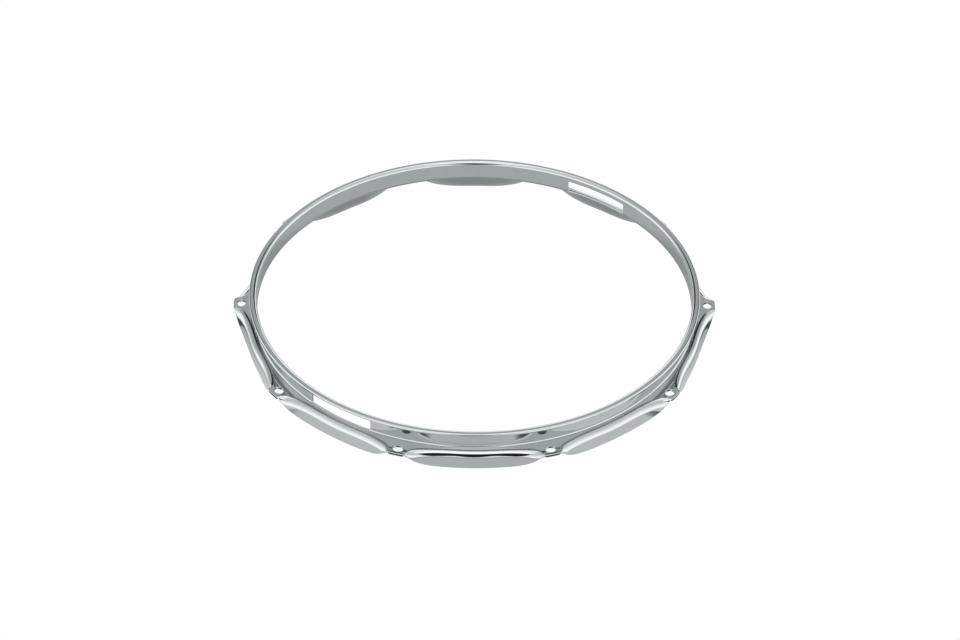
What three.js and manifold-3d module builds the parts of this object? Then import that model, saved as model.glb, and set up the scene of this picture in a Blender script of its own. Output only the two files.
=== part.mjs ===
// A pressed steel hoop for the snare side of a 14 inch drum: a rim turned outwards, an upright
// wall with two snare gates, ten ears for the tension rods and ten skirts folded down between them.
// All of it is one sheet, rolled into a ring, closed by one weld, pressed and pierced.
// Millimetres. Z runs up the hoop's axis, from the plane that the skirts' lower edges lie in.

import * as THREE from 'three';
import { mergeVertices } from 'three/addons/utils/BufferGeometryUtils.js';
import Module from 'manifold-3d';

const wasm = await Module();
wasm.setup();

// The sheet
const sheetThickness = 2.3;

// The wall and the rim
const boreDiameter = 355.4;
const wallRise = 15.8; // from the ears' upper faces to the top of the rim
const rimReach = 4; // from the wall's outer face
const rimBendRadius = 1; // inside of the bend
const footBendRadius = 1.2; // inside of the bend between the wall and the ears

// The skirts
const skirtReach = 8;
const skirtDepth = 14.7; // from the ears' upper faces to the lower edge
const foldBendRadius = 4; // inside of the fold

// The ears and their rod holes
const earCount = 10;
const earReach = 17.3;
const rodHoleLength = 8.4; // along the hoop
const rodHoleWidth = 6.9; // across it
const rodHoleTipMargin = 2.85; // sheet between the hole and the ear's tip
const rodHoleSideMargin = 3.3;

// The snare gates
const gateWidth = 58;
const gateSillRise = 0.3; // above the ears' upper faces, so within the bend at the foot of the wall
const gateLintelDepth = 5.8; // from the top of the rim down to the gate
const gateHeadRadius = 1.6;
const gateSillRadius = 0.5;
const gateSkirt = 2; // counted from zero, from the first ear on; the other gate is opposite

// The weld
const weldWidth = 3;
const weldSkirt = 5; // counted like the gate's

// How finely round shapes are faceted
const rimBendFacets = 3;
const footBendFacets = 2;
const foldFacets = 3;
const holeFacets = 12; // on half a turn
const cornerFacets = 4;

// Cutters run this far past the sheet, and vertices closer than the tolerance are one
const cutOverrun = 2;
const mergeTolerance = 1e-4;

// Where an ear's stations lie, from its centre line to its side, as shares of its half width. The
// flat tip of the ear has no crease, so the crease only marks where the fold's points start.
// The out shares run from the skirt's own place to the ear's tip.
const earShares = [
  { wall: 0, crease: 0, edge: 0, creaseOut: 0.937, edgeOut: 1 },
  { wall: 0.6, crease: 0.66, edge: 0.67, creaseOut: 0.937, edgeOut: 1 },
  { wall: 0.87, crease: 0.93, edge: 0.95, creaseOut: 0.928, edgeOut: 0.97 },
];

// Where a skirt's stations lie. The wall, crease and edge shares run along the hoop, from the
// ear's side to the middle of the skirt. Drop is a share of the skirt's depth.
const skirtShares = [
  { wall: 0.02, crease: 0, edge: 0.026, creaseOut: 0.801, edgeOut: 0.882, drop: 0.156 },
  { wall: 0.051, crease: 0.004, edge: 0.056, creaseOut: 0.635, edgeOut: 0.806, drop: 0.293 },
  { wall: 0.092, crease: 0.037, edge: 0.101, creaseOut: 0.47, edgeOut: 0.72, drop: 0.442 },
  { wall: 0.153, crease: 0.127, edge: 0.165, creaseOut: 0.312, edgeOut: 0.602, drop: 0.612 },
  { wall: 0.286, crease: 0.268, edge: 0.284, creaseOut: 0.16, edgeOut: 0.387, drop: 0.789 },
  { wall: 0.441, crease: 0.441, edge: 0.438, creaseOut: 0.05, edgeOut: 0.204, drop: 0.905 },
  { wall: 0.628, crease: 0.656, edge: 0.635, creaseOut: 0, edgeOut: 0.043, drop: 0.986 },
  { wall: 0.816, crease: 0.84, edge: 0.84, creaseOut: 0, edgeOut: 0, drop: 1 },
];

// A fold that is nearly all bend keeps this share of the radius that would use it up
const tightFoldShare = 0.96;

// Radii from the hoop's axis
const wallInnerRadius = boreDiameter / 2;
const wallOuterRadius = wallInnerRadius + sheetThickness;
const rimRadius = wallOuterRadius + rimReach;
const skirtRadius = wallOuterRadius + skirtReach;
const foldOuterRadius = foldBendRadius + sheetThickness;
const foldStartRadius = skirtRadius - foldOuterRadius;
const earRadius = wallOuterRadius + earReach;
const rodCircleRadius = earRadius - rodHoleTipMargin - rodHoleWidth / 2;
const earHalfWidth = rodHoleLength / 2 + rodHoleSideMargin;

// Heights above the skirts' lower edges
const earTop = skirtDepth;
const rimTop = earTop + wallRise;
const gateSill = earTop + gateSillRise;
const gateHead = rimTop - gateLintelDepth;

// Angles about the hoop's axis
const sectorAngle = (2 * Math.PI) / earCount;
const skirtAngle = (skirt) => (skirt + 0.5) * sectorAngle;
const gateAngles = [skirtAngle(gateSkirt), skirtAngle(gateSkirt) + Math.PI];
const weldAngle = skirtAngle(weldSkirt);
const weldHalfAngle = weldWidth / 2 / wallOuterRadius;

// A point of the hoop from its radius, angle and height
function polar(radius, angle, height) {
  return new THREE.Vector3(radius * Math.cos(angle), radius * Math.sin(angle), height);
}

// Points on a bend of the wall's section, turned to an angle about the hoop's axis
function wallBend(centre, radius, from, to, facets, angle) {
  const arc = new THREE.EllipseCurve(centre.x, centre.y, radius, radius, from, to, false);
  return arc.getPoints(facets).map((point) => polar(point.x, angle, point.y));
}

// Both faces of the wall share the centres of its two bends
const rimBendCentre = new THREE.Vector2(
  wallOuterRadius + rimBendRadius,
  rimTop - sheetThickness - rimBendRadius,
);
const footBendCentre = new THREE.Vector2(wallOuterRadius + footBendRadius, earTop + footBendRadius);

// The face that shows from inside the hoop, from the rim's edge down to the foot of the wall
function wallInside(angle) {
  const rimBend = rimBendRadius + sheetThickness;
  const footBend = footBendRadius + sheetThickness;
  return [
    polar(rimRadius, angle, rimTop),
    ...wallBend(rimBendCentre, rimBend, Math.PI / 2, Math.PI, rimBendFacets, angle),
    ...wallBend(footBendCentre, footBend, Math.PI, 1.5 * Math.PI, footBendFacets, angle),
  ];
}

// The face that shows from outside, in the same order
function wallOutside(angle) {
  return [
    polar(rimRadius, angle, rimTop - sheetThickness),
    ...wallBend(rimBendCentre, rimBendRadius, Math.PI / 2, Math.PI, 1, angle),
    ...wallBend(footBendCentre, footBendRadius, Math.PI, 1.5 * Math.PI, 1, angle),
  ];
}

// How the sheet folds between a crease and an edge that lies lower: the bend's radius and its turn
function foldBend(reach, drop) {
  const allBend = (reach * reach + drop * drop) / (2 * drop);
  const radius = Math.min(foldOuterRadius, tightFoldShare * allBend);
  const toEdge = Math.hypot(reach, drop - radius);
  const turn = Math.atan2(reach, radius - drop) - Math.acos(radius / toEdge);
  return { radius, turn };
}

// The fold's upper face from the crease to the edge, each point with the way the face looks there
function foldedPoints({ crease, edge, drop }) {
  const out = edge.clone().sub(crease).setZ(0);
  const reach = out.length();
  out.normalize();
  const { radius, turn } = foldBend(reach, drop);
  const looking = (angle) => out.clone().multiplyScalar(Math.sin(angle)).setZ(Math.cos(angle));
  const points = [];
  for (let facet = 0; facet <= foldFacets; facet += 1) {
    const normal = looking((turn * facet) / foldFacets);
    const place = crease.clone().addScaledVector(normal, radius);
    points.push({ place: place.setZ(place.z - radius), normal });
  }
  points.push({ place: edge.clone().setZ(crease.z - drop), normal: looking(turn) });
  return points;
}

// An ear is flat, so its points are spread evenly from the crease to the edge
function flatPoints({ crease, edge }) {
  const points = [];
  for (let step = 0; step <= foldFacets + 1; step += 1) {
    const place = crease.clone().lerp(edge, step / (foldFacets + 1));
    points.push({ place, normal: new THREE.Vector3(0, 0, 1) });
  }
  return points;
}

// The sheet's whole section at a station: down its inner face, and back up its outer face
function section(station) {
  const points = station.drop > 0 ? foldedPoints(station) : flatPoints(station);
  const upper = points.map(({ place }) => place);
  const lower = points.map(({ place, normal }) => place.clone().addScaledVector(normal, -sheetThickness));
  return [
    ...wallInside(station.wallAngle),
    ...lower,
    ...upper.reverse(),
    ...wallOutside(station.wallAngle).reverse(),
  ];
}

// The angle at which an ear's side, which is straight, crosses a radius
function earSideAngle(radius) {
  return Math.asin(earHalfWidth / radius);
}

// A station in the middle of a skirt, where the section stays the same
function plainStation(angle) {
  return {
    wallAngle: angle,
    crease: polar(foldStartRadius, angle, earTop),
    edge: polar(skirtRadius, angle, earTop),
    drop: skirtDepth,
  };
}

// A station from its shares, where turned gives the angle that a share along the hoop has at a radius
function stationAt(share, drop, turned) {
  const creaseRadius = THREE.MathUtils.lerp(foldStartRadius, earRadius, share.creaseOut);
  const edgeRadius = THREE.MathUtils.lerp(skirtRadius, earRadius, share.edgeOut);
  return {
    wallAngle: turned(share.wall, wallOuterRadius),
    crease: polar(creaseRadius, turned(share.crease, creaseRadius), earTop),
    edge: polar(edgeRadius, turned(share.edge, edgeRadius), earTop),
    drop,
  };
}

// A station within an ear, on the side that the sign gives
function earStation(share, earAngle, side) {
  const turned = (along, radius) => earAngle + side * Math.asin((along * earHalfWidth) / radius);
  return stationAt(share, 0, turned);
}

// A station along a skirt's end
function skirtStation(share, earAngle, side) {
  const turned = (along, radius) =>
    earAngle + side * THREE.MathUtils.lerp(earSideAngle(radius), sectorAngle / 2, along);
  return stationAt(share, share.drop * skirtDepth, turned);
}

// The stations on one side of an ear's centre line, from the ear out along the skirt's end
function earSideStations(earAngle, side) {
  return [
    ...earShares.slice(1).map((share) => earStation(share, earAngle, side)),
    ...skirtShares.map((share) => skirtStation(share, earAngle, side)),
  ];
}

// The stations of one ear and the skirt ends on both sides of it
function earStations(earAngle) {
  return [
    ...earSideStations(earAngle, -1).reverse(),
    earStation(earShares[0], earAngle, 1),
    ...earSideStations(earAngle, 1),
  ];
}

// A closed solid through sections that follow each other, capped at both ends
function loft(sections) {
  const ringSize = sections[0].length;
  const indices = [];
  for (let ring = 0; ring + 1 < sections.length; ring += 1) {
    for (let corner = 0; corner < ringSize; corner += 1) {
      const next = (corner + 1) % ringSize;
      const near = ring * ringSize;
      const far = near + ringSize;
      indices.push(near + corner, far + corner, far + next);
      indices.push(near + corner, far + next, near + next);
    }
  }
  const lastRing = (sections.length - 1) * ringSize;
  for (const [a, b, c] of capTriangles(sections[0])) {
    indices.push(a, b, c);
    indices.push(lastRing + c, lastRing + b, lastRing + a);
  }
  const geometry = new THREE.BufferGeometry().setFromPoints(sections.flat());
  geometry.setIndex(indices);
  return geometry;
}

// Triangles over a section that lies in one upright plane through the hoop's axis
function capTriangles(points) {
  const outline = points.map(({ x, y, z }) => new THREE.Vector2(Math.hypot(x, y), z));
  return THREE.ShapeUtils.triangulateShape(outline, []);
}

// A solid that can be cut, from a closed geometry
function toSolid(geometry) {
  geometry.deleteAttribute('normal');
  geometry.deleteAttribute('uv');
  const merged = mergeVertices(geometry, mergeTolerance);
  const mesh = new wasm.Mesh({
    numProp: 3,
    vertProperties: merged.attributes.position.array,
    triVerts: Uint32Array.from(merged.index.array),
  });
  return new wasm.Manifold(mesh);
}

// A geometry again, from a solid that has been cut
function toGeometry(solid) {
  const mesh = solid.getMesh();
  const geometry = new THREE.BufferGeometry();
  geometry.setAttribute('position', new THREE.BufferAttribute(mesh.vertProperties, mesh.numProp));
  geometry.setIndex(new THREE.BufferAttribute(mesh.triVerts, 1));
  geometry.computeVertexNormals();
  return geometry;
}

// A cutter for one oval rod hole
function rodHole(earAngle) {
  const outline = new THREE.Shape();
  outline.absellipse(0, 0, rodHoleWidth / 2, rodHoleLength / 2, 0, 2 * Math.PI);
  const depth = sheetThickness + 2 * cutOverrun;
  const cutter = new THREE.ExtrudeGeometry(outline, {
    depth,
    bevelEnabled: false,
    curveSegments: holeFacets,
  });
  cutter.translate(rodCircleRadius, 0, earTop - sheetThickness - cutOverrun);
  cutter.rotateZ(earAngle);
  return toSolid(cutter);
}

// The outline of a snare gate as seen from outside, with its lower edge at height zero
function gateOutline() {
  const side = gateWidth / 2;
  const height = gateHead - gateSill;
  const head = Math.min(gateHeadRadius, height / 2);
  const sill = Math.min(gateSillRadius, height / 2);
  const outline = new THREE.Shape();
  outline.moveTo(sill - side, 0);
  outline.absarc(side - sill, sill, sill, -Math.PI / 2, 0);
  outline.absarc(side - head, height - head, head, 0, Math.PI / 2);
  outline.absarc(head - side, height - head, head, Math.PI / 2, Math.PI);
  outline.absarc(sill - side, sill, sill, Math.PI, 1.5 * Math.PI);
  return outline;
}

// A cutter for one snare gate, which runs straight through the wall
function gate(angle) {
  const wallSag = wallInnerRadius - Math.sqrt(wallInnerRadius ** 2 - (gateWidth / 2) ** 2);
  const depth = wallSag + sheetThickness + 2 * cutOverrun;
  const cutter = new THREE.ExtrudeGeometry(gateOutline(), {
    depth,
    bevelEnabled: false,
    curveSegments: cornerFacets,
  });
  cutter.rotateX(Math.PI / 2);
  cutter.translate(0, wallOuterRadius + cutOverrun, gateSill);
  cutter.rotateZ(angle - Math.PI / 2);
  return toSolid(cutter);
}

// The pressed sheet, from one side of the weld round to the other, with its holes and gates
function pressedHoop(weldStart, weldEnd) {
  const stations = [weldEnd];
  for (let turn = 1; turn <= earCount; turn += 1) {
    const earAngle = (weldSkirt + turn) * sectorAngle;
    stations.push(...earStations(earAngle));
    if (turn < earCount) {
      stations.push(plainStation(earAngle + sectorAngle / 2));
    }
  }
  stations.push(weldStart);
  let solid = toSolid(loft(stations.map(section)));
  for (let ear = 0; ear < earCount; ear += 1) {
    solid = solid.subtract(rodHole(ear * sectorAngle));
  }
  for (const angle of gateAngles) {
    solid = solid.subtract(gate(angle));
  }
  return toGeometry(solid);
}

// The weld bead, ground to the sheet's own section
function buttWeld(weldStart, weldEnd) {
  const geometry = loft([weldStart, weldEnd].map(section));
  geometry.computeVertexNormals();
  return geometry;
}

const weldStart = plainStation(weldAngle - weldHalfAngle);
const weldEnd = plainStation(weldAngle + weldHalfAngle);

const platedSheet = new THREE.MeshStandardMaterial({ color: 0xd6dadb, roughness: 0.1, metalness: 1 });
const platedWeld = new THREE.MeshStandardMaterial({ color: 0xd2d6d7, roughness: 0.14, metalness: 1 });

const hoopMesh = new THREE.Mesh(pressedHoop(weldStart, weldEnd), platedSheet);
hoopMesh.name = 'pressed_hoop';

const weldMesh = new THREE.Mesh(buttWeld(weldStart, weldEnd), platedWeld);
weldMesh.name = 'butt_weld';

const drumHoop = new THREE.Group();
drumHoop.add(hoopMesh, weldMesh);

export default drumHoop;
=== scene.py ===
from math import acos, asin, atan2, copysign, cos, hypot, pi, radians, sin, sqrt

import bmesh
import bpy
from mathutils import Matrix, Vector


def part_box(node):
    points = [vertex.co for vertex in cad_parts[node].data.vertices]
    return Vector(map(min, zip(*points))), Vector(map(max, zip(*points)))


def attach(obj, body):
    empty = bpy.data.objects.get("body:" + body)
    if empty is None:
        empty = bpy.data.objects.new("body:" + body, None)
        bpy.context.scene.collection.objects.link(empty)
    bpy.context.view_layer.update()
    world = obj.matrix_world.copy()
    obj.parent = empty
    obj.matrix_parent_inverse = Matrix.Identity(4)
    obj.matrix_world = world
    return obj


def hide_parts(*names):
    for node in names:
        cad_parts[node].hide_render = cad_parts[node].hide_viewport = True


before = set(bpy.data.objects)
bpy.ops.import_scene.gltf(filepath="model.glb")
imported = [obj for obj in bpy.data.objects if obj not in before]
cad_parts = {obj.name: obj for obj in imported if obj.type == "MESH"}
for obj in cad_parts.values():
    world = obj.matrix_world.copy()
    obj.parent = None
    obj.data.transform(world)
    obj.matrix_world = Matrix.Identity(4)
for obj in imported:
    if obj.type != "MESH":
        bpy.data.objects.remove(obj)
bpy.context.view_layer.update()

scene = bpy.context.scene
scene.view_settings.view_transform = "Standard"
mm = 0.001
up = Vector((0, 0, 1))

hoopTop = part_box("pressed_hoop")[1]
rimTop = hoopTop.z
earRadius = hoopTop.x  # one ear faces +X


def polar(radius, angle, height):
    return Vector((radius * cos(angle), radius * sin(angle), height))


def mix(low, high, share):
    return low + (high - low) * share


# Camera

cameraSettings = {
    "lens": 112.82,
    "distance": 2.4575,
    "azimuth": radians(35.763),
    "elevation": radians(37.712),
    "roll": radians(0.459),
    "shift": (0.005645, -0.03268),
}


def addCamera(settings, target):
    data = bpy.data.cameras.new("photoCamera")
    data.lens = settings["lens"]
    data.shift_x, data.shift_y = settings["shift"]
    camera = bpy.data.objects.new("photoCamera", data)
    scene.collection.objects.link(camera)
    away = polar(cos(settings["elevation"]), settings["azimuth"] - pi / 2, sin(settings["elevation"]))
    turned = away.to_track_quat("Z", "Y").to_matrix().to_4x4()
    placed = Matrix.Translation(target + away * settings["distance"])
    camera.matrix_world = placed @ turned @ Matrix.Rotation(settings["roll"], 4, "Z")
    scene.camera = camera


addCamera(cameraSettings, up * rimTop)
print("camera placed")


# Shader maths


class Wire:
    # A shader socket that can be added, multiplied and so on
    def __init__(self, tree, socket=None):
        self.tree = tree
        self.socket = socket

    def node(self, kind, settings, sockets, output=0):
        made = self.tree.nodes.new("ShaderNode" + kind)
        for name, value in settings.items():
            setattr(made, name, value)
        for name, value in sockets.items():
            if isinstance(value, Wire):
                self.tree.links.new(value.socket, made.inputs[name])
            else:
                made.inputs[name].default_value = value
        return Wire(self.tree, made.outputs[output])

    def maths(self, operation, *values):
        return self.node("Math", {"operation": operation}, dict(enumerate(values)))

    def __add__(self, other):
        return self.maths("ADD", self, other)

    __radd__ = __add__

    def __sub__(self, other):
        return self.maths("SUBTRACT", self, other)

    def __rsub__(self, other):
        return self.maths("SUBTRACT", other, self)

    def __mul__(self, other):
        return self.maths("MULTIPLY", self, other)

    __rmul__ = __mul__

    def smooth(self, low, high):
        # 0 below low, 1 above high, eased in between
        return self.node("MapRange", {"interpolation_type": "SMOOTHSTEP"}, {0: self, 1: low, 2: high})

    def dot(self, axis):
        # How far a vector socket reaches along an axis
        return self.node("VectorMath", {"operation": "DOT_PRODUCT"}, {0: self, 1: axis}, "Value")

    def within(self, low, high, soft):
        # 1 between low and high, fading out over soft
        half = soft / 2
        return self.smooth(low - half, low + half) * (1 - self.smooth(high - half, high + half))

    def towards(self, value, mask):
        return self + (value - self) * mask


# Chrome finish

platingSettings = {
    "hazeScale": 45,
    "hazeDetail": 4,
    "hazeMix": 0.6,
    "hazeRange": (0.4, 0.75),  # of the noise, for the roughness
    "tintRange": (0.3, 0.8),  # of the noise, for the colour
    "tintShare": 0.96,
    "waveScale": 22,
    "waveDetail": 1,
    "waveDepth": 1 * mm,
}
chromeSettings = {
    "chrome_sheet": {
        "colour": (0.55, 0.565, 0.57),
        "roughness": 0.035,
        "hazeRoughness": 0.03,
        "wave": 0.02,
    },
    "chrome_weld": {
        "colour": (0.545, 0.56, 0.565),
        "roughness": 0.05,
        "hazeRoughness": 0.04,
        "wave": 0.02,
    },
}


def finishMaterial(tree, surface):
    output = tree.nodes.new("ShaderNodeOutputMaterial")
    tree.links.new(surface.socket, output.inputs["Surface"])


def chromeMaterial(name, settings):
    material = bpy.data.materials.new(name)
    material.use_nodes = True
    tree = material.node_tree
    tree.nodes.clear()
    start = Wire(tree)
    place = start.node("TexCoord", {}, {}, "Object")
    haze = start.node(
        "TexNoise",
        {},
        {
            "Vector": place,
            "Scale": platingSettings["hazeScale"],
            "Detail": platingSettings["hazeDetail"],
            "Roughness": platingSettings["hazeMix"],
        },
    )
    wave = start.node(
        "TexNoise",
        {},
        {"Vector": place, "Scale": platingSettings["waveScale"], "Detail": platingSettings["waveDetail"]},
    )
    hazy = haze.smooth(*platingSettings["hazeRange"])
    roughness = settings["roughness"] + settings["hazeRoughness"] * hazy
    darker = [channel * platingSettings["tintShare"] for channel in settings["colour"]]
    tinted = haze.smooth(*platingSettings["tintRange"])
    tint = start.node(
        "Mix",
        {"data_type": "RGBA"},
        {0: tinted, "A": (*settings["colour"], 1), "B": (*darker, 1)},
        2,
    )
    relief = start.node(
        "Bump",
        {},
        {"Strength": settings["wave"], "Distance": platingSettings["waveDepth"], "Height": wave},
    )
    metal = start.node(
        "BsdfPrincipled",
        {},
        {"Base Color": tint, "Metallic": 1.0, "Roughness": roughness, "Normal": relief},
    )
    finishMaterial(tree, metal)
    return material


# The pressed sheet: its upper and outer face is laid out first, and its thickness comes after

sheetSettings = {
    "gauge": 2.3 * mm,
    "bore": 355.4 * mm,
    "rimReach": 4 * mm,  # from the wall's outer face
    "rimBend": 1 * mm,  # inside radius between the rim and the wall
    "footBend": 1.2 * mm,  # inside radius between the wall and the ears
    "skirtReach": 8 * mm,
    "skirtDepth": 14.7 * mm,
    "foldBend": 6.3 * mm,  # outside radius of the skirts' fold
    "tightestBend": 3.2 * mm,  # outside radius where a fold starts at an ear's side
    "earCount": 10,
    "earHalfWidth": 7.5 * mm,
    "holeLength": 8.4 * mm,
    "holeWidth": 6.9 * mm,
    "holeTipMargin": 2.85 * mm,
    "gateWidth": 58 * mm,
    "gateSillTurn": radians(24),  # the sill is cut square to the sheet, this far into the foot's bend
    "gateLintelDepth": 5.8 * mm,  # from the top of the rim
    "gateHeadCorner": 1.6 * mm,
    "weldWidth": 3 * mm,
    "weldAngle": radians(198),
    "edgeRound": 0.35 * mm,
    "rimRound": 1.1 * mm,  # the rim's upper edge
    "support": 0.3 * mm,  # how far a supporting loop lies from a bend
    "edgeBand": 0.5 * mm,  # the same from a cut edge
}
meshSettings = {
    "rimSteps": 7,
    "footSteps": (3, 6),  # above and below the sill's cut
    "foldSteps": 9,
    "skirtSteps": 2,
    "holeSegments": 48,
    "holeRingShare": 1.15,  # of the hole, for the ring of even faces round it
    "roundSegments": 4,
    "cornerAngle": radians(55),  # cut edges sharper than this are rounded
    "merge": 0.001 * mm,
    "flat": 0.0001 * mm,  # heights closer than this are the same
    "foldedFrom": 0.3,  # of the skirt's depth, from where on the rows lie on the bend
    "flatFoldShare": 0.8,  # how far out they lie on a flat ear
    "patchShare": 0.72,  # of the ear's width, for what is meshed anew round the hole
    "patchMargin": 2.1 * mm,  # inwards of the ring
    # Where the stations' spacing changes, and how many there are up to there
    "earStations": ((radians(1.56), 4), (radians(2.1), 3), (radians(4.5), 14)),
    "skirtStations": 9,
    "gateCornerStations": 2,
}

# Along, from an ear's centre to its side, for wall, crease and edge, then how far out crease and edge lie
earShares = [
    (0, 0, 0, 0.89, 1),
    (0.6, 0.66, 0.67, 0.89, 1),
    (0.87, 0.93, 0.95, 0.877, 0.97),
]
# The same along a skirt, from the ear's side to its middle, and how deep the skirt is there
skirtShares = [
    (0.02, 0, 0.026, 0.801, 0.882, 0.156),
    (0.051, 0.004, 0.056, 0.635, 0.806, 0.293),
    (0.092, 0.037, 0.101, 0.47, 0.72, 0.442),
    (0.153, 0.127, 0.165, 0.312, 0.602, 0.612),
    (0.286, 0.268, 0.284, 0.16, 0.387, 0.789),
    (0.441, 0.441, 0.438, 0.05, 0.204, 0.905),
    (0.628, 0.656, 0.635, 0, 0.043, 0.986),
    (0.816, 0.84, 0.84, 0, 0, 1),
    (1, 1, 1, 0, 0, 1),
]
tightFoldShare = 0.96

wallRadius = sheetSettings["bore"] / 2 + sheetSettings["gauge"]
skirtRadius = wallRadius + sheetSettings["skirtReach"]
foldStart = skirtRadius - sheetSettings["foldBend"]
earTop = sheetSettings["skirtDepth"]
holeCentre = earRadius - sheetSettings["holeTipMargin"] - sheetSettings["holeWidth"] / 2
halfSector = pi / sheetSettings["earCount"]
gateSill = earTop + sheetSettings["footBend"] * (1 - sin(sheetSettings["gateSillTurn"]))
gateHead = rimTop - sheetSettings["gateLintelDepth"]
gateHalfAngle = asin(sheetSettings["gateWidth"] / 2 / wallRadius)
weldHalfAngle = sheetSettings["weldWidth"] / 2 / wallRadius


def earControl(row):
    wallAlong, creaseAlong, edgeAlong, creaseOut, edgeOut = row
    half = sheetSettings["earHalfWidth"]
    creaseRadius = mix(foldStart, earRadius, creaseOut)
    edgeRadius = mix(skirtRadius, earRadius, edgeOut)
    return (
        asin(wallAlong * half / wallRadius),
        asin(creaseAlong * half / creaseRadius),
        creaseRadius,
        asin(edgeAlong * half / edgeRadius),
        edgeRadius,
        0,
    )


def skirtControl(row):
    wallAlong, creaseAlong, edgeAlong, creaseOut, edgeOut, drop = row
    half = sheetSettings["earHalfWidth"]
    creaseRadius = mix(foldStart, earRadius, creaseOut)
    edgeRadius = mix(skirtRadius, earRadius, edgeOut)
    return (
        mix(asin(half / wallRadius), halfSector, wallAlong),
        mix(asin(half / creaseRadius), halfSector, creaseAlong),
        creaseRadius,
        mix(asin(half / edgeRadius), halfSector, edgeAlong),
        edgeRadius,
        drop * sheetSettings["skirtDepth"],
    )


def mirrored(control, middle):
    # The row on the other side of a plane of symmetry
    wall, crease, creaseRadius, edge, edgeRadius, drop = control
    return (2 * middle - wall, 2 * middle - crease, creaseRadius, 2 * middle - edge, edgeRadius, drop)


def splineAt(controls, place):
    # The even cubic spline that the rows steer
    first = min(int(place), len(controls) - 4)
    t = place - first
    weights = ((1 - t) ** 3, 3 * t**3 - 6 * t**2 + 4, 1 + 3 * t + 3 * t**2 - 3 * t**3, t**3)
    rows = controls[first : first + 4]
    return [sum(w * value for w, value in zip(weights, values)) / 6 for values in zip(*rows)]


def splineAtWall(controls, wallAngle):
    # The spline's values where it passes an angle on the wall
    low = 0
    high = len(controls) - 3
    for halving in range(40):
        middle = (low + high) / 2
        if splineAt(controls, middle)[0] < wallAngle:
            low = middle
        else:
            high = middle
    return splineAt(controls, low)


def bendPoints(centre, radius, start, end, steps):
    points = []
    for step in range(steps + 1):
        angle = mix(start, end, step / steps)
        points.append((centre[0] + radius * cos(angle), centre[1] + radius * sin(angle)))
    return points


def wallPoints():
    # Radius and height down the wall's outer face, from the rim's edge to the foot
    rimBend = sheetSettings["rimBend"]
    footBend = sheetSettings["footBend"]
    support = sheetSettings["support"]
    rimUnder = rimTop - sheetSettings["gauge"]
    rimRadius = wallRadius + sheetSettings["rimReach"]
    headCorner = sheetSettings["gateHeadCorner"]
    points = [(rimRadius, rimUnder), (mix(rimRadius, wallRadius + rimBend, 0.5), rimUnder)]
    rimCentre = (wallRadius + rimBend, rimUnder - rimBend)
    points += bendPoints(rimCentre, rimBend, pi / 2, pi, meshSettings["rimSteps"])
    heights = [
        rimUnder - rimBend - support,
        gateHead,
        gateHead - headCorner / 2,
        gateHead - headCorner,
        mix(gateHead - headCorner, earTop + footBend, 0.5),
        earTop + footBend + support,
    ]
    points += [(wallRadius, height) for height in heights]
    sillTurn = pi + sheetSettings["gateSillTurn"]
    footCentre = (wallRadius + footBend, earTop + footBend)
    aboveSill, belowSill = meshSettings["footSteps"]
    points += bendPoints(footCentre, footBend, pi, sillTurn, aboveSill)
    points += bendPoints(footCentre, footBend, sillTurn, 1.5 * pi, belowSill)[1:]
    return points


def shelfPoints(foot, crease):
    # From the foot of the wall out to the crease, all flat
    support = min(1 / 6, sheetSettings["support"] / (crease - foot).length)
    return [foot.lerp(crease, share) for share in (support, 1 / 3, 2 / 3, 1 - support, 1)]


def foldPoints(crease, edge, drop):
    # From the crease over the bend and down to the skirt's lower edge
    bendSteps = meshSettings["foldSteps"]
    straightSteps = meshSettings["skirtSteps"]
    out = edge - crease
    reach = out.length
    out.normalize()
    radius = sheetSettings["foldBend"]
    turn = 0
    straight = reach
    if drop > meshSettings["flat"]:
        least = sqrt(max(0, 2 * sheetSettings["tightestBend"] * drop / tightFoldShare - drop**2))
        reach = (reach**6 + least**6) ** (1 / 6)  # the longer of the two, eased where they meet
        radius = min(radius, tightFoldShare * (reach**2 + drop**2) / (2 * drop))
        toEdge = hypot(reach, drop - radius)
        turn = atan2(reach, radius - drop) - acos(radius / toEdge)
        straight = sqrt(toEdge**2 - radius**2)
    crease = edge - out * reach
    whole = radius * turn + straight
    lastRow = whole - sheetSettings["edgeBand"]
    folded = min(1, drop / (meshSettings["foldedFrom"] * sheetSettings["skirtDepth"]))
    bendEnd = mix(meshSettings["flatFoldShare"] * lastRow, min(radius * turn, lastRow), folded)
    walks = [bendEnd * step / bendSteps for step in range(1, bendSteps + 1)]
    walks += [mix(bendEnd, lastRow, step / straightSteps) for step in range(1, straightSteps + 1)]
    walks.append(whole)
    points = [crease]
    for walk in walks:
        angle = min(walk / radius, turn)
        rest = max(0, walk - radius * turn)
        along = radius * sin(angle) + rest * cos(angle)
        down = radius * (1 - cos(angle)) + rest * sin(angle)
        points.append(crease + out * along - up * down)
    return points


def sectionAt(controls, wallAngle):
    wall, creaseAngle, creaseRadius, edgeAngle, edgeRadius, drop = splineAtWall(controls, wallAngle)
    points = [polar(radius, wallAngle, height) for radius, height in wallPoints()]
    crease = polar(creaseRadius, creaseAngle, earTop)
    edge = polar(edgeRadius, edgeAngle, earTop)
    fold = foldPoints(crease, edge, drop)
    return points + shelfPoints(points[-1], fold[0]) + fold[1:]


def stationAngles():
    # Closest together where the skirt's end turns down beside the ear
    gateSide = halfSector - gateHalfAngle
    gateCorner = gateSide + sheetSettings["gateHeadCorner"] / wallRadius
    spans = [
        *meshSettings["earStations"],
        (gateSide, meshSettings["skirtStations"]),
        (gateCorner, meshSettings["gateCornerStations"]),
        (halfSector - weldHalfAngle, meshSettings["skirtStations"]),
        (halfSector, 1),
    ]
    angles = [0]
    for end, steps in spans:
        start = angles[-1]
        angles += [mix(start, end, step / steps) for step in range(1, steps + 1)]
    return angles


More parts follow.
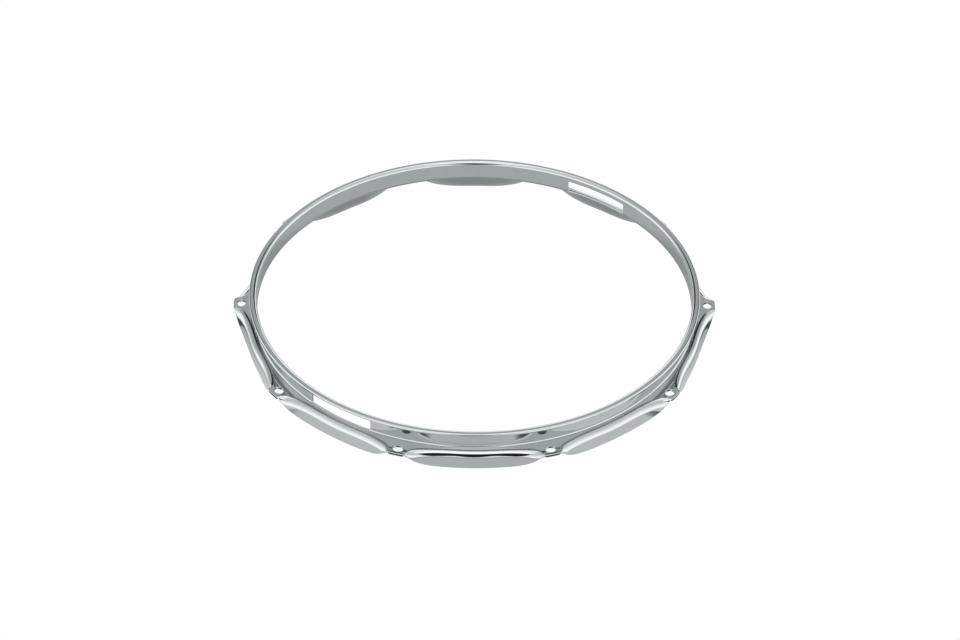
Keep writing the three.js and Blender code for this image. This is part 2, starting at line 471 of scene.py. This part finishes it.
def faceOutwards(bm):
    bmesh.ops.recalc_face_normals(bm, faces=bm.faces[:])
    facing = sum(face.normal.dot(face.calc_center_median().normalized()) for face in bm.faces)
    if facing < 0:
        bmesh.ops.reverse_faces(bm, faces=bm.faces[:])


def layOutEar(bm):
    # Half a sector from a grid, then its mirror image on the other side of the ear
    controls = [earControl(row) for row in earShares] + [skirtControl(row) for row in skirtShares]
    controls = [mirrored(controls[1], 0)] + controls + [mirrored(controls[-2], halfSector)]
    sections = [sectionAt(controls, angle) for angle in stationAngles()]
    bmesh.ops.create_grid(bm, x_segments=len(sections) - 1, y_segments=len(sections[0]) - 1, size=1)
    for index, vert in enumerate(bm.verts):
        row, station = divmod(index, len(sections))
        vert.co = sections[station][row]
    halfEar = bm.verts[:] + bm.edges[:] + bm.faces[:]
    bmesh.ops.mirror(bm, geom=halfEar, merge_dist=meshSettings["merge"], axis="Y")
    faceOutwards(bm)


def pierceEar(bm):
    # The flat of the ear gets its oval hole, with a ring of even faces round it
    halfPatch = meshSettings["patchShare"] * sheetSettings["earHalfWidth"]
    ringShare = meshSettings["holeRingShare"]
    nearest = holeCentre - ringShare * sheetSettings["holeWidth"] / 2 - meshSettings["patchMargin"]
    farthest = mix(foldStart, earRadius, earShares[0][3]) + meshSettings["merge"]

    def inPatch(vert):
        flat = abs(vert.co.z - earTop) < meshSettings["flat"]
        between = vert.co.x > nearest and vert.co.xy.length < farthest
        return flat and between and abs(vert.co.y) < halfPatch

    patch = [face for face in bm.faces if all(inPatch(vert) for vert in face.verts)]
    border = [edge for face in patch for edge in face.edges]
    border = [edge for edge in set(border) if sum(face in patch for face in edge.link_faces) == 1]
    bmesh.ops.delete(bm, geom=patch, context="FACES")
    oval = Matrix.Diagonal((sheetSettings["holeWidth"] / 2, sheetSettings["holeLength"] / 2, 1, 1))
    place = Matrix.Translation((holeCentre, 0, earTop)) @ oval
    circle = bmesh.ops.create_circle(bm, segments=meshSettings["holeSegments"], radius=1, matrix=place)
    rim = list({edge for vert in circle["verts"] for edge in vert.link_edges})
    ring = bmesh.ops.extrude_edge_only(bm, edges=rim)["geom"]
    outer = [item for item in ring if isinstance(item, bmesh.types.BMVert)]
    ringEdges = [item for item in ring if isinstance(item, bmesh.types.BMEdge)]
    ringEdges = [edge for edge in ringEdges if all(vert in outer for vert in edge.verts)]
    aboutHole = Matrix.Translation((-holeCentre, 0, 0))
    bmesh.ops.scale(bm, vec=(ringShare, ringShare, 1), space=aboutHole, verts=outer)
    bmesh.ops.triangle_fill(bm, use_beauty=True, edges=border + ringEdges, normal=up)
    faceOutwards(bm)


def cutGate(bm, side):
    # One gate in the wall that faces +Y or -Y, with round corners at its head
    width = sheetSettings["gateWidth"] / 2

    def inGate(face):
        centre = face.calc_center_median()
        onWall = centre.xy.length < wallRadius + sheetSettings["footBend"] / 2
        return onWall and centre.y * side > 0 and abs(centre.x) < width and gateSill < centre.z < gateHead

    opened = [face for face in bm.faces if inGate(face)]
    edges = {edge for face in opened for edge in face.edges}
    border = [edge for edge in edges if sum(inGate(face) for face in edge.link_faces) == 1]
    corners = list({vert for edge in border for vert in edge.verts})
    bmesh.ops.delete(bm, geom=opened, context="FACES")
    cornerRadius = sheetSettings["gateHeadCorner"]
    centreHeight = gateHead - cornerRadius
    centreAlong = wallRadius * gateHalfAngle - cornerRadius
    for vert in corners:
        along = wallRadius * atan2(vert.co.x, vert.co.y * side)
        offset = Vector((abs(along) - centreAlong, vert.co.z - centreHeight))
        if min(offset) > meshSettings["merge"]:
            offset *= cornerRadius / offset.length
            angle = (centreAlong + offset.x) / wallRadius
            radius = vert.co.xy.length
            vert.co.x = radius * copysign(sin(angle), along)
            vert.co.y = radius * cos(angle) * side
            vert.co.z = centreHeight + offset.y


def thicken(bm):
    cut = bm.verts.layers.int.new("cut")
    for vert in bm.verts:
        vert[cut] = vert.is_boundary
    bmesh.ops.solidify(bm, geom=bm.faces[:], thickness=sheetSettings["gauge"])
    for vert in bm.verts:
        vert.co.z = max(vert.co.z, 0)  # the skirts' edges stand on the floor
    topOfRim = rimTop - sheetSettings["support"]
    for rounding, lowest in ((sheetSettings["rimRound"], topOfRim), (sheetSettings["edgeRound"], 0)):
        bm.normal_update()
        rounded = {vert for vert in bm.verts if vert[cut] and vert.co.z >= lowest}
        corners = [edge for edge in bm.edges if rounded.issuperset(edge.verts)]
        corners = [edge for edge in corners if edge.calc_face_angle(0) > meshSettings["cornerAngle"]]
        bmesh.ops.bevel(
            bm,
            geom=corners,
            offset=rounding,
            offset_type="OFFSET",
            segments=meshSettings["roundSegments"],
            profile=0.5,
            affect="EDGES",
            material=-1,
        )


def keepStrip(bm, insideWeld):
    # Keep either the weld's strip or the rest, and close the two cut ends
    middle = sheetSettings["weldAngle"]

    def inStrip(face):
        centre = face.calc_center_median()
        offset = (atan2(centre.y, centre.x) - middle + pi) % (2 * pi) - pi
        return abs(offset) < weldHalfAngle

    unwanted = [face for face in bm.faces if inStrip(face) != insideWeld]
    bmesh.ops.delete(bm, geom=unwanted, context="FACES")
    ends = [edge for edge in bm.edges if edge.is_boundary]
    for edge in ends:
        edge.smooth = False
    caps = bmesh.ops.edgeloop_fill(bm, edges=ends)["faces"]
    bmesh.ops.triangulate(bm, faces=caps, ngon_method="EAR_CLIP")
    bmesh.ops.recalc_face_normals(bm, faces=bm.faces[:])


def addPiece(bm, name, node, slot):
    mesh = bpy.data.meshes.new(name)
    bm.to_mesh(mesh)
    bm.free()
    mesh.shade_smooth()
    piece = bpy.data.objects.new(name, mesh)
    scene.collection.objects.link(piece)
    mesh.materials.append(chromeMaterial(slot, chromeSettings[slot]))
    even = piece.modifiers.new("evenShading", "WEIGHTED_NORMAL")
    even.keep_sharp = True
    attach(piece, "root")
    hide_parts(node)
    triangles = sum(len(face.vertices) - 2 for face in mesh.polygons)
    print(name, "made,", triangles, "triangles")


def buildHoop():
    bm = bmesh.new()
    layOutEar(bm)
    pierceEar(bm)
    others = sheetSettings["earCount"] - 1
    bmesh.ops.spin(
        bm,
        geom=bm.verts[:] + bm.edges[:] + bm.faces[:],
        cent=(0, 0, 0),
        axis=up,
        angle=2 * halfSector * others,
        steps=others,
        use_duplicate=True,
    )
    bmesh.ops.remove_doubles(bm, verts=bm.verts[:], dist=meshSettings["merge"])
    faceOutwards(bm)
    for side in (-1, 1):
        cutGate(bm, side)
    thicken(bm)
    weld = bm.copy()
    keepStrip(bm, False)
    keepStrip(weld, True)
    addPiece(bm, "chromed_hoop", "pressed_hoop", "chrome_sheet")
    addPiece(weld, "ground_weld", "butt_weld", "chrome_weld")


buildHoop()


# Studio

studioSettings = {
    "skyTint": (0.985, 1, 0.995),
    "panel": 1.65,  # the bright side panels, low down
    "room": 0.9,  # high up beside the overhead strip
    "panelTop": (radians(8), radians(58)),
    "panelLeft": 0.58,  # how much of its light the left one keeps, well behind the hoop's middle
    "panelLeftEnds": (radians(121), radians(152)),
    "strip": 1.8,  # the long softbox overhead
    "stripMiddle": 1.3,  # straight up, so that the ears keep their tone from above
    "stripMiddleEnd": radians(13),
    "stripHalfWidth": (0.1, 0.45),  # sideways over upwards
    "stripEnds": (radians(-33), radians(37)),  # from straight up, behind and towards the camera
    "front": 1.3,  # round the camera
    "frontHalfWidth": (radians(4), radians(26)),
    "behind": 0.58,  # the grey wall behind
    "behindStart": (radians(116), radians(136)),
    "behindLow": (radians(14), radians(33)),  # beside its middle and at its middle
    "behindFoot": (radians(155), radians(172)),
    "behindHigh": radians(50),
    "flag": 0.04,  # two black flags at the sides of the grey wall
    "flagTurn": (radians(147), radians(167)),
    "flagHeight": (radians(17), radians(44)),
    "card": 0.02,  # the dark stand under the camera
    "cardLow": (radians(5), radians(43)),  # at its middle and at its sides
    "cardLowWidth": radians(20),
    "cardHigh": (radians(50), radians(48)),
    "cardHalfWidth": radians(30),
    "cardDepth": (2.2, 2.8),  # the ray depths between which it goes, so that second reflections lack it
    "soft": radians(5),
    "floorRadius": 8,
    "floorSegments": 96,
    # The floor glows instead of being lit. The camera sees it plain white. In reflections it shows
    # painted light and shade: painted shadows inside and under the hoop and under the ears, painted shade
    # beside the hoop and towards the camera, and painted light farther out.
    "reflectedFloorTint": (0.97, 1, 0.99),
    "floorInside": 0.66,
    "floorInsideMargin": (20 * mm, 10 * mm),
    "floorUnder": 0.42,  # in the hoop's own shadow
    "floorNear": (0.85, 0.6),  # beside the hoop, in front of its middle and behind it
    "floorNearTurn": (radians(60), radians(80)),
    "floorFar": 1.6,
    "floorFront": (0.72, 0.5),  # near and far, towards the camera
    "floorFrontWidth": (radians(4), radians(26)),
    "floorShade": 0.1,  # the ears' shadows
    "floorShadow": (201 * mm, 216 * mm),
    "floorShadowSoft": 5 * mm,
    "floorShadowTurn": (0.35, 0.8),  # cosine, from an ear's side to its middle
    "floorSpread": (0.205, 0.29),
}


def cameraAxes(vector):
    # How far a vector points towards the camera's side, and across it
    return [vector.dot(polar(1, cameraSettings["azimuth"] + turn, 0)) for turn in (-pi / 2, 0)]


def buildWorld(settings):
    world = bpy.data.worlds.new("studio")
    scene.world = world
    world.use_nodes = True
    tree = world.node_tree
    tree.nodes.clear()
    start = Wire(tree)
    direction = start.node("TexCoord", {}, {}, "Generated")
    forward, sideways = cameraAxes(direction)
    height = direction.dot(up)
    elevation = height.maths("ARCSINE", height)
    azimuth = height.maths("ARCTAN2", sideways, forward)
    turned = azimuth.maths("ABSOLUTE", azimuth)
    soft = settings["soft"]
    low, high = settings["panelTop"]
    light = elevation.smooth(low, high) * (settings["room"] - settings["panel"]) + settings["panel"]
    left = (0 - azimuth).within(*settings["panelLeftEnds"], 2 * soft)
    light = light.towards(light * settings["panelLeft"], left)
    light = light.towards(settings["front"], 1 - turned.smooth(*settings["frontHalfWidth"]))
    along = height.maths("ARCTAN2", forward, height)
    across = height.maths("ARCTAN2", sideways, height)
    across = across.maths("ABSOLUTE", across)
    strip = along.within(*settings["stripEnds"], 2 * soft)
    strip = strip * (1 - across.smooth(*settings["stripHalfWidth"]))
    middle = along.within(-settings["stripMiddleEnd"], settings["stripMiddleEnd"], 2 * soft)
    stripLight = middle * (settings["stripMiddle"] - settings["strip"]) + settings["strip"]
    light = light.towards(stripLight, strip)
    besideLow, middleLow = settings["behindLow"]
    wallFoot = turned.smooth(*settings["behindFoot"]) * (middleLow - besideLow) + besideLow
    behind = (elevation - wallFoot).smooth(-soft / 2, soft / 2)
    ledge = settings["behindHigh"]
    behind = behind * (1 - elevation.smooth(ledge - soft, ledge + soft))
    light = light.towards(settings["behind"], behind * turned.smooth(*settings["behindStart"]))
    flags = turned.within(*settings["flagTurn"], soft) * elevation.within(*settings["flagHeight"], soft)
    light = light.towards(settings["flag"], flags)
    halfWidth = settings["cardHalfWidth"]
    lowMiddle, lowSide = settings["cardLow"]
    highMiddle, highSide = settings["cardHigh"]
    cardLow = turned.smooth(0, settings["cardLowWidth"]) * (lowSide - lowMiddle) + lowMiddle
    cardHigh = turned * ((highSide - highMiddle) / halfWidth) + highMiddle
    card = (elevation - cardLow).smooth(-soft / 2, soft / 2)
    card = card * (cardHigh - elevation).smooth(-soft / 2, soft / 2)
    card = card * (1 - turned.smooth(halfWidth - 2 * soft, halfWidth))
    depth = start.node("LightPath", {}, {}, "Ray Depth")
    card = card * (1 - depth.smooth(*settings["cardDepth"]))
    light = light.towards(settings["card"], card)
    seen = start.node("LightPath", {}, {}, "Is Camera Ray")
    light = light.towards(1, seen)
    sky = start.node("Background", {}, {"Color": (*settings["skyTint"], 1), "Strength": light})
    output = tree.nodes.new("ShaderNodeOutputWorld")
    tree.links.new(sky.socket, output.inputs["Surface"])


def buildFloor(settings):
    bm = bmesh.new()
    segments = settings["floorSegments"]
    bmesh.ops.create_circle(bm, cap_ends=True, segments=segments, radius=settings["floorRadius"])
    mesh = bpy.data.meshes.new("floor")
    bm.to_mesh(mesh)
    bm.free()
    floor = bpy.data.objects.new("floor", mesh)
    scene.collection.objects.link(floor)
    material = bpy.data.materials.new("floor")
    material.use_nodes = True
    tree = material.node_tree
    tree.nodes.clear()
    start = Wire(tree)
    place = start.node("TexCoord", {}, {}, "Object")
    forward, sideways = cameraAxes(place)
    radius = forward.maths("SQRT", forward * forward + sideways * sideways)
    azimuth = forward.maths("ARCTAN2", sideways, forward)
    turned = azimuth.maths("ABSOLUTE", azimuth)
    # Painted shade beside the hoop and towards the camera, and painted light farther out, seen in
    # reflections
    away = radius.smooth(*settings["floorSpread"])
    near, far = settings["floorFront"]
    front = away * (far - near) + near
    nearFront, nearBehind = settings["floorNear"]
    nearBeside = turned.smooth(*settings["floorNearTurn"]) * (nearBehind - nearFront) + nearFront
    beside = nearBeside.towards(settings["floorFar"], away)
    light = front.towards(beside, turned.smooth(*settings["floorFrontWidth"]))
    # Painted shadow under the hoop and painted shade inside its ring, seen only in reflections
    light = light.towards(settings["floorUnder"], 1 - radius.smooth(wallRadius, skirtRadius))
    inside = 1 - radius.smooth(*[wallRadius - margin for margin in settings["floorInsideMargin"]])
    light = light.towards(settings["floorInside"], inside)
    # Painted shadows of the ears, drawn into the floor's glow
    earTurn = (azimuth - cameraSettings["azimuth"] + pi / 2) * sheetSettings["earCount"]
    earShadow = earTurn.maths("COSINE", earTurn).smooth(*settings["floorShadowTurn"])
    earShadow = earShadow * radius.within(*settings["floorShadow"], settings["floorShadowSoft"])
    light = light.towards(settings["floorShade"], earShadow)
    # Only reflections see the floor's painted tint and its painted light and shade; the camera sees the
    # floor glowing plain white
    seen = start.node("LightPath", {}, {}, "Is Camera Ray")
    tint = start.node(
        "Mix",
        {"data_type": "RGBA"},
        {0: seen, "A": (*settings["reflectedFloorTint"], 1), "B": (1, 1, 1, 1)},
        2,
    )
    surface = start.node("Emission", {}, {"Color": tint, "Strength": light.towards(1, seen)})
    finishMaterial(tree, surface)
    mesh.materials.append(material)


buildWorld(studioSettings)
buildFloor(studioSettings)
print("studio lit")
